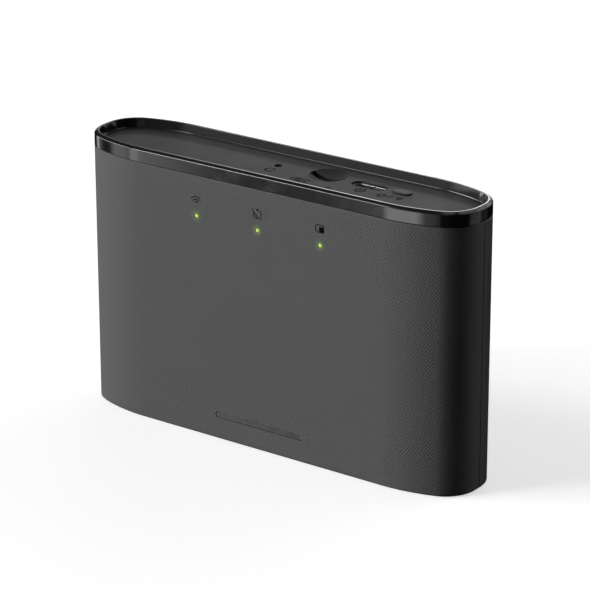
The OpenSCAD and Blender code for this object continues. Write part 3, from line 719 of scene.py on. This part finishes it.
def rear_case():
    rear = shell(1, REAR_SEAM)
    # Tongue that laps inside the front shell, along the floor and up both ends
    tongue = block(span(0, HALF_W - WALL / 2 - TONGUE_GAP), (-0.65, REAR_SEAM + 0.6),
                   (WALL / 2 + TONGUE_GAP, BODY_TOP - 0.03))
    boolean(tongue, [block(span(0, HALF_W - WALL), (-2, 3), (WALL, BODY_TOP + 1))])
    adds = [tongue]
    for x in HOOK_X:
        adds.append(block(span(x, 2.5), (-3.3, REAR_SEAM + 1.95), (WALL - 0.1, WALL + 1.1)))
        adds.append(block(span(x, 2.5), (-3.3, -2.4), (WALL - 0.5, WALL + 0.2)))
    adds += [block(span(x, 0.5), (HALF_D - WALL - 2.2, HALF_D - WALL + 0.1), (WALL - 0.2, LIGHT_Z))
             for x in (-40, 40)]
    boolean(rear, adds, "UNION")
    finish_part(rear, "rear_case_shell", "smooth_case", angle=30, replaces="rear_shell")


# ---------------------------------------------------------------- top
def trim_ring():
    rim = [
        # in from the outline, z, corner radius
        (0.0, BODY_TOP + 0.13, 0.05), (0.0, HEIGHT - 0.54, 0.30),
        (0.67, HEIGHT, 0.35), (1.15, HEIGHT, 0.10),
        (1.63, PANEL_Z + 0.135, 0), (RING_INSIDE, PANEL_Z + 0.02, 0),
        (RING_INSIDE, PANEL_Z - 0.92, 0), (2.41, PANEL_Z - 0.92, 0),
        (2.41, PANEL_Z - 1.52, 0), (3.31, PANEL_Z - 1.52, 0),
        (3.31, PANEL_Z - 4.20, 0), (1.86, PANEL_Z - 4.20, 0),
        (1.86, PANEL_Z - 3.42, 0), (1.54, PANEL_Z - 3.42, 0),
        (1.54, PANEL_Z - 2.82, 0), (1.86, PANEL_Z - 2.82, 0),
        (1.86, BODY_TOP + 0.01, 0), (0.3, BODY_TOP + 0.01, 0), (0.3, BODY_TOP + 0.13, 0)]
    profile = fillet(rim, steps=6, closed=True)
    path = closed_outline(RING_STEPS)
    verts, uvs = outline_grid(path, profile)
    ring = new_object(verts, grid_faces(len(path), len(profile), True, True), uvs)
    finish_part(ring, "glossy_trim_ring", "gloss_band", angle=14, replaces="top_trim_ring")


def panel_blank():
    """The plate before its openings are cut, with a step round its lower edge."""
    edge = RING_INSIDE + 0.06
    middle = 8.0                # only gives the profile's ends a direction; both are dropped
    profile = fillet([
        (middle, PANEL_Z - 1.5, 0), (edge + 0.7, PANEL_Z - 1.5, 0.1),
        (edge + 0.7, PANEL_Z - 0.9, 0), (edge, PANEL_Z - 0.9, 0.05),
        (edge, PANEL_Z, 0.16), (middle, PANEL_Z, 0)], steps=5)[1:-1]
    path = closed_outline(CASE_STEPS)
    rows, cols = len(path), len(profile)
    verts, _ = outline_grid(path, profile)
    return new_object(verts, grid_faces(rows, cols, True, False) + cap_faces(rows, cols))


def sim_scoop():
    """Cutter for the round dish over the SIM card: a ball's cap with a rounded rim."""
    radius, depth = 4.67, 1.25
    rim = 0.16                                      # radius of the rounding, tangent to both
    ball = (radius ** 2 + depth ** 2) / (2 * depth)
    reach = asin(radius / ball)
    outer = radius + rim * tan(reach / 2)
    angles = [reach * k / 33 for k in range(33)]
    profile = [(ball * sin(a), ball - depth - ball * cos(a)) for a in angles]
    angles = [reach * (1 - k / 5) for k in range(6)]
    profile += [(outer - rim * sin(a), -rim + rim * cos(a)) for a in angles]
    profile += [(outer, 0.4), (0, 0.4)]
    return lathe(profile, (SIM_X, SIM_Y, PANEL_Z), steps=160)


def pill_opening(x, y, length, width, rounding):
    """Cutter for a pill-shaped opening whose top edge is rounded."""
    profile = [(0, PANEL_Z - 4.0), (0, PANEL_Z - rounding)]
    profile += edge_arc(0, PANEL_Z - rounding, -rounding, rounding)
    profile.append((-rounding, PANEL_Z + 1.0))
    return pill((x, y, 0), length, width, profile)


def control_panel():
    panel = panel_blank()
    boolean(panel, [
        block(span(SIM_X, 6.2), (0.6, 5.8), (PANEL_Z - 2.75, PANEL_Z - 1.4)),
        lathe(rod_profile(1.7, PANEL_Z - 2.8, PANEL_Z - 1.3), (RESET_X, RESET_Y, 0), steps=64),
    ], "UNION")
    reset_r, reset_edge = 1.0, 0.06
    reset_hole = [(0, -5), (reset_r, -5), (reset_r, -reset_edge)]
    reset_hole += edge_arc(reset_r, -reset_edge, reset_edge, reset_edge)
    reset_hole += [(reset_r + reset_edge, 2), (0, 2)]
    boolean(panel, [
        sim_scoop(),
        block(span(SIM_X, 4.6), span(SIM_Y, 0.9), (PANEL_Z - 4, PANEL_Z + 1)),
        pill_opening(USB_X, USB_Y, 9.2, 3.5, rounding=0.07),
        pill_opening(KEY_X, KEY_Y, KEY_HOLE_L, KEY_HOLE_W, rounding=0.06),
        lathe(reset_hole, (RESET_X, RESET_Y, PANEL_Z), steps=64),
    ])
    finish_part(panel, "control_panel_plate", "satin_panel", angle=24, replaces="control_panel")


def power_key():
    """Key cap on a wider flange below the panel, with a foot beneath it."""
    top = mm_box("power_button")[1][2]
    cap = pill((KEY_X, KEY_Y, 0), KEY_HOLE_L - KEY_PLAY, KEY_HOLE_W - KEY_PLAY, fillet([
        (0.0, PANEL_Z - 2.3, 0), (0.0, PANEL_Z - 2.0, 0),
        (0.0, top - 0.02, 0.17), (0.6, top, 0)], steps=6))
    flange = pill((KEY_X, KEY_Y, 0), 6.3, 3.64, [
        (0.06, PANEL_Z - 2.4), (0.0, PANEL_Z - 2.34), (0.0, PANEL_Z - 1.66), (0.06, PANEL_Z - 1.6)])
    foot = block(span(KEY_X, 1.5), span(KEY_Y, 0.8), (PANEL_Z - 3.0, PANEL_Z - 2.3), radius=0.05)
    boolean(flange, [cap, foot], "UNION")
    finish_part(flange, "power_key_cap", "button_plastic", angle=30, replaces="power_button",
                body="power_key")


# ---------------------------------------------------------------- small parts
def inlay_strip():
    """Softly crowned strip; heights run towards -Y."""
    back, face = -strip_high[1], -strip_low[1]
    profile = [(0.0, back), (0.0, face - 0.10)] + edge_arc(0.0, face - 0.10, 0.08, 0.08, steps=5)
    profile += [(0.25, face - 0.012), (0.45, face - 0.003), (0.62, face)]
    strip = pill((0, 0, STRIP_Z), STRIP_L, STRIP_W, profile, "-Y", steps=32)
    finish_part(strip, "inlay_strip_plain", "gloss_inlay", angle=35, replaces="front_inlay_strip")


def usb_shell():
    """The socket's metal shell, open at the top, with rolled edges."""
    low, high = mm_box("usb_c_shell")
    bottom, top = low[2], high[2]
    outer = pill((USB_X, USB_Y, 0), 8.94, 3.2, fillet([
        (0.3, bottom, 0), (0.0, bottom, 0.25), (0.0, top, 0.11), (0.3, top, 0)], steps=5))
    inner = pill((USB_X, USB_Y, 0), 8.34, 2.56, [
        (0.0, bottom + 0.4), (0.0, top - 0.08), (-0.02, top - 0.035), (-0.06, top - 0.005),
        (-0.08, top + 1)])
    boolean(outer, [inner])
    finish_part(outer, "usb_shell_rolled", "connector_steel", angle=35, replaces="usb_c_shell")


def usb_tongue():
    low, high = mm_box("usb_c_tongue")
    bottom, top = low[2], high[2]
    base = pill((USB_X, USB_Y, 0), 8.24, 2.46, [
        (0.0, bottom), (0.0, bottom + 1.0), (0.05, bottom + 1.05)])
    blade = block(span(USB_X, 3.35), span(USB_Y, 0.28), (bottom + 0.6, top),
                  radius=0.07, segments=3)
    boolean(base, [blade], "UNION")
    finish_part(base, "usb_tongue_moulded", "switch_plastic", angle=35, replaces="usb_c_tongue",
                material="tongue_resin")


def light_guides():
    """Three rods with domed tips, each with a collar; heights run towards -Y."""
    tip, tail = -pipe_low[1], -pipe_high[1]
    shoulder = -FRONT_IN - 0.25
    tip_r, dome = 0.55, 0.16
    profile = [(0, tail), (1.0, tail), (1.0, shoulder), (tip_r, shoulder), (tip_r, tip - dome)]
    profile += [(tip_r * cos(k * pi / 16), tip - dome + dome * sin(k * pi / 16))
                for k in range(1, 8)]
    profile.append((0, tip))
    chamfered = COLLAR_R - 0.06
    collar_profile = [(0, 0.05), (chamfered, 0.05), (COLLAR_R, 0.11), (COLLAR_R, 0.84),
                      (chamfered, 0.9), (0, 0.9)]
    rods = []
    for x in LIGHT_X:
        rod = lathe(profile, (x, 0, LIGHT_Z), "-Y", 40)
        boolean(rod, [lathe(collar_profile, (x, 0, LIGHT_Z), "-Y", 40)], "UNION")
        rods.append(rod)
    finish_part(join(rods), "light_guides_domed", "light_pipe", angle=35, replaces="light_pipes")


# ---------------------------------------------------------------- printed marks
INK_THICKNESS = 0.008
INK_SINK = 0.003                # how far the ink reaches into the surface


def line(points, width, closed=False):
    return (points, width, closed)


def fill(points):
    return (points, None, True)


def arc(radius, start, end, steps=14, centre=(0, 0)):
    angles = [radians(start + (end - start) * i / steps) for i in range(steps + 1)]
    return [(centre[0] + radius * cos(a), centre[1] + radius * sin(a)) for a in angles]


def circle(radius, steps):
    angles = [2 * pi * i / steps for i in range(steps)]
    return [(radius * cos(a), radius * sin(a)) for a in angles]


def moved(shapes, u, v):
    return [([(a + u, b + v) for a, b in points], width, closed)
            for points, width, closed in shapes]


def ink_line(points, width, closed):
    """(u, v, h) vertices and faces of a flat ribbon along a line."""
    points = [Vector(p) for p in points]
    count = len(points)
    verts = []
    for i, point in enumerate(points):
        before = points[i - 1] if (i > 0 or closed) else point
        after = points[(i + 1) % count] if (i < count - 1 or closed) else point
        along = (after - before).normalized()
        across = Vector((-along.y, along.x)) * width / 2
        for h in (0.0, INK_THICKNESS):
            verts += [(*(point + across), h), (*(point - across), h)]
    faces = []
    for i in range(count if closed else count - 1):
        p, q = 4 * i, 4 * ((i + 1) % count)
        faces += [(p, q, q + 1, p + 1), (p + 2, p + 3, q + 3, q + 2),
                  (p, p + 2, q + 2, q), (p + 1, q + 1, q + 3, p + 3)]
    if not closed:
        q = 4 * (count - 1)
        faces += [(0, 1, 3, 2), (q, q + 2, q + 3, q + 1)]
    return verts, faces


def ink_fill(points):
    count = len(points)
    verts = [(u, v, h) for h in (0.0, INK_THICKNESS) for u, v in points]
    faces = [tuple(reversed(range(count))), tuple(range(count, 2 * count))]
    for i in range(count):
        k = (i + 1) % count
        faces.append((i, k, count + k, count + i))
    return verts, faces


def add_marks(name, shapes, place):
    """Thin raised ink; place maps (u, v, h) to a point."""
    verts, faces = [], []
    for points, width, closed in shapes:
        shape = ink_fill(points) if width is None else ink_line(points, width, closed)
        base = len(verts)
        verts += [place(u, v, h) for u, v, h in shape[0]]
        faces += [tuple(base + i for i in face) for face in shape[1]]
    finish_part(new_object(verts, faces), name, "gloss_inlay", angle=40, material="mark_ink")


def on_front(u, v, h):
    return (u, -HALF_D + INK_SINK - h, v)


def on_panel(u, v, h):
    return (u, v, PANEL_Z - INK_SINK + h)


def marks_above_lights():
    signal = [line(arc(r, 42, 138), 0.24) for r in (0.62, 1.22, 1.86)]
    # Two-way arrows, crossed by a bar
    data = [
        line(arc(0.98, -28, 100, centre=(0.15, 0.05)), 0.23),
        line(arc(0.98, 170, 262, centre=(-0.15, -0.05)), 0.23),
        line([(-1.35, 1.15), (-1.15, 0.55), (-0.55, -0.15), (0.3, -0.78), (1.25, -1.05)], 0.24),
        fill([(-0.45, 1.02), (0.12, 1.32), (0.12, 0.72)]),
        fill([(0.22, -1.02), (-0.32, -0.74), (-0.32, -1.34)])]
    battery = [
        line([(-1.15, -0.5), (-1.15, 0.62), (-0.85, 0.86), (1.1, 0.86), (1.1, -0.82),
              (-0.75, -0.82)], 0.24, closed=True),
        fill([(-0.2, -0.74), (1.04, -0.74), (1.04, 0.56), (-0.2, 0.42)])]
    add_marks("marks_above_lights", moved(signal, -PITCH - 0.05, 56.6)
              + moved(data, 0.05, 57.75) + moved(battery, PITCH, 57.75), on_front)


def marks_on_panel():
    reset_arrow = [line(arc(1.08, 25, 320, steps=26), 0.38),
                   fill([(1.35, -0.25), (0.55, -0.45), (1.02, -1.05)])]
    card = [
        line([(-2.3, -0.8), (2.3, -0.8), (2.3, 0.8), (-1.7, 0.8), (-2.3, 0.25)], 0.36,
             closed=True),
        line([(-1.2, -0.35), (0.2, -0.35), (0.2, 0.35), (-1.2, 0.35)], 0.26, closed=True),
        line([(0.8, 0), (1.7, 0)], 0.34)]
    card_corner = [fill([(0, 0), (1.3, 0), (1.3, 0.65), (0.4, 0.65), (0, 0.35)])]
    charging_bolt = [
        line(circle(1.1, steps=28), 0.38, closed=True),
        fill([(0.18, 0.78), (-0.48, -0.1), (-0.05, -0.1), (-0.2, -0.78), (0.48, 0.14),
              (0.05, 0.14)])]
    power = [line(arc(0.92, 118, 422, steps=26), 0.40), line([(0, 0.2), (0, 1.12)], 0.40)]
    slash = [line([(0, 0), (0.65, 1.6)], 0.40)]
    signal = [line(arc(r, 48, 132), 0.33) for r in (0.5, 1.0, 1.52)]
    signal.append(line(arc(0.12, 0, 359, steps=8, centre=(0, 0.05)), 0.25))
    places = [
        # mark, x, y
        (reset_arrow, -3.75, -1.35), (card, 6.0, -3.25), (card_corner, 13.8, -4.55),
        (charging_bolt, USB_X, -1.5), (power, 27.25, -1.75), (slash, 29.0, -2.1),
        (signal, 31.7, -2.3)]
    shapes = [shape for mark, x, y in places for shape in moved(mark, x, y)]
    add_marks("marks_on_panel", shapes, on_panel)


front_case()
rear_case()
trim_ring()
control_panel()
power_key()
inlay_strip()
usb_shell()
usb_tongue()
light_guides()
marks_above_lights()
marks_on_panel()

# Soft edges on the CAD pieces that still show
for node_object in NODES.values():
    if node_object.hide_render:
        continue
    bevel = node_object.modifiers.new("edges", "BEVEL")
    bevel.width, bevel.segments = 0.00003, 2
    bevel.limit_method, bevel.angle_limit = "ANGLE", radians(40)
    bevel.harden_normals = False


# ---------------------------------------------------------------- floor
def build_floor():
    """A pale square grid just under the case, glowing evenly like a light table."""
    steps, half, z = 24, 1.6, -0.00002
    ticks = [-half + 2 * half * i / steps for i in range(steps + 1)]
    mesh = bpy.data.meshes.new("floor")
    mesh.from_pydata([(x, y, z) for y in ticks for x in ticks], [],
                     grid_faces(steps + 1, steps + 1, False, False))
    # Each square runs anticlockwise seen from above, so that it faces up
    floor = bpy.data.objects.new("floor", mesh)
    SCENE.collection.objects.link(floor)
    t = new_material("pale_floor")
    big = t.noise(t.coord, scale=3, detail=2)
    shade(t, t.mix(big, (0.70, 0.70, 0.70), (0.72, 0.72, 0.72)), rough=0.8, specular=0.1)
    t.surface(Emission_Color=(1, 1, 1, 1), Emission_Strength=0.55)
    mesh.materials.append(MATERIALS["pale_floor"])
    # Hidden from bounced rays, so the studio below the horizon lights the object as well
    floor.visible_diffuse = floor.visible_glossy = False


build_floor()

# ---------------------------------------------------------------- studio
SCENE.view_settings.view_transform = "Standard"
SCENE.view_settings.look = "None"
SCENE.view_settings.exposure = 0.0
SCENE.view_settings.gamma = 1.0

SOFTBOXES = [
    # label, strength, azimuth, half width, elevation, half height, edge softness
    # Angles in degrees; azimuth is 0 in front, 90 to the right
    ("low far left", 2.2, -88, 8, -22, 16, 8),
    ("low left", 1.5, -56, 8, -22, 16, 4),
    ("low left edge", 2.8, -43, 4.1, -22, 16, 1.2),
    ("low gap", 0.05, -37, 5, -22, 16, 4),
    ("low front left", 3.5, -20, 12.5, -22, 16, 4),
    ("low front", 0.7, -3, 7, -22, 16, 6),
    ("low right", 0.45, 122, 22, -22, 18, 8),
    ("left", 5.0, -78, 13, 10, 13, 6),
    ("left front", 1.7, -54, 10, 10, 13, 5),
    ("front left strip", 0.57, -34, 7, 7, 10, 4),
    ("front", 0.05, -14, 12, 10, 13, 6),
    ("front right", 0.3, 20, 14, 6, 8, 6),
    ("key", 11.0, -62, 10, 28, 8, 4),
    ("edge low", 7.2, -36, 6, 22, 8, 3),
    ("edge low left", 19.0, -42, 4.3, 22, 8, 2),
    ("edge right", 1.0, 14, 12, 34, 5, 3),
    ("edge middle", 3.5, -41, 5, 36, 7, 3),
    ("edge high", 12.0, -50, 6, 45, 4, 3),
    ("front left upper", 1.3, -37, 8, 42, 14, 4),
    ("right rear", 1.0, 142, 18, 8, 14, 10),
    ("overhead", 1.2, 0, 200, 90, 10, 6),
    ("rear left low", 0.8, -147, 20, 2, 6, 4),
    ("rear left crest", 5.3, -148.3, 5.5, 18.5, 3.5, 4),
    ("rear scoop", 2.0, -164, 6, 14, 4.5, 3),
    ("rear left upper", 1.6, -142, 14, 37, 6, 5),
    ("rear right", 1.6, 168, 16, 24, 14, 10),
    ("rear high", 1.0, -175, 16, 44, 10, 6),
]


def build_world():
    """A dark sky with soft-edged panels of white light."""
    world = bpy.data.worlds.new("studio")
    SCENE.world = world
    world.use_nodes = True
    t = Tree(world)
    background = t.find("BACKGROUND")
    background.inputs["Color"].default_value = (1, 1, 1, 1)
    x, y, z = t.split(t.add("ShaderNodeTexCoord").outputs["Generated"])
    elevation = t.math("ARCSINE", z)
    azimuth = t.math("ARCTAN2", x, t.product(y, -1.0))

    def inside(distance, half, soft):
        """1 within half of the middle, fading to 0 across the edge."""
        return t.ramp(distance, within=(radians(half - soft), radians(half + soft)),
                      to=(1.0, 0.0))

    total = None
    for _, strength, az, half_width, el, half_height, soft in SOFTBOXES:
        # The azimuth difference is wrapped into -pi to pi
        turn = t.math("ADD", t.math("SUBTRACT", azimuth, radians(az)), 5 * pi)
        turn = t.math("SUBTRACT", t.math("MODULO", turn, 2 * pi), pi)
        across = inside(t.math("ABSOLUTE", turn), half_width, soft)
        rise = t.math("ABSOLUTE", t.math("SUBTRACT", elevation, radians(el)))
        panel = t.product(across, inside(rise, half_height, soft), strength)
        total = panel if total is None else t.math("ADD", total, panel)
    t.put(background.inputs["Strength"], total)


def build_lamp():
    """A weak round lamp above the rear right, aimed at the case."""
    place, target = Vector((0.14, 0.10, 0.26)), Vector((0, 0, 0.05))
    light = bpy.data.lights.new("lamp_rear_right", "AREA")
    light.shape, light.size, light.energy = "DISK", 0.20, 0.10
    lamp = bpy.data.objects.new("lamp_rear_right", light)
    lamp.location = place
    lamp.rotation_euler = (target - place).to_track_quat("-Z", "Y").to_euler()
    SCENE.collection.objects.link(lamp)


def build_camera():
    """Looks at the middle of the case from the front right, a little above."""
    azimuth, elevation, roll = radians(36.215), radians(20.654), radians(-0.156)
    distance = 0.67423
    back = Vector((sin(azimuth) * cos(elevation), -cos(azimuth) * cos(elevation),
                   sin(elevation)))
    right = Vector((cos(azimuth), sin(azimuth), 0))
    up = back.cross(right)
    rolled_right = cos(roll) * right + sin(roll) * up
    rolled_up = -sin(roll) * right + cos(roll) * up
    lens = bpy.data.cameras.new("camera")
    camera = bpy.data.objects.new("camera", lens)
    SCENE.collection.objects.link(camera)
    axes = Matrix((rolled_right, rolled_up, back)).transposed()
    middle = Vector((0, 0, HEIGHT / 2000))
    camera.matrix_world = Matrix.Translation(middle + back * distance) @ axes.to_4x4()
    lens.sensor_width = 36
    lens.lens = 178.77
    lens.shift_x, lens.shift_y = 0.01352, 0.00993
    lens.clip_start, lens.clip_end = 0.05, 20
    SCENE.camera = camera


build_world()
build_lamp()
build_camera()
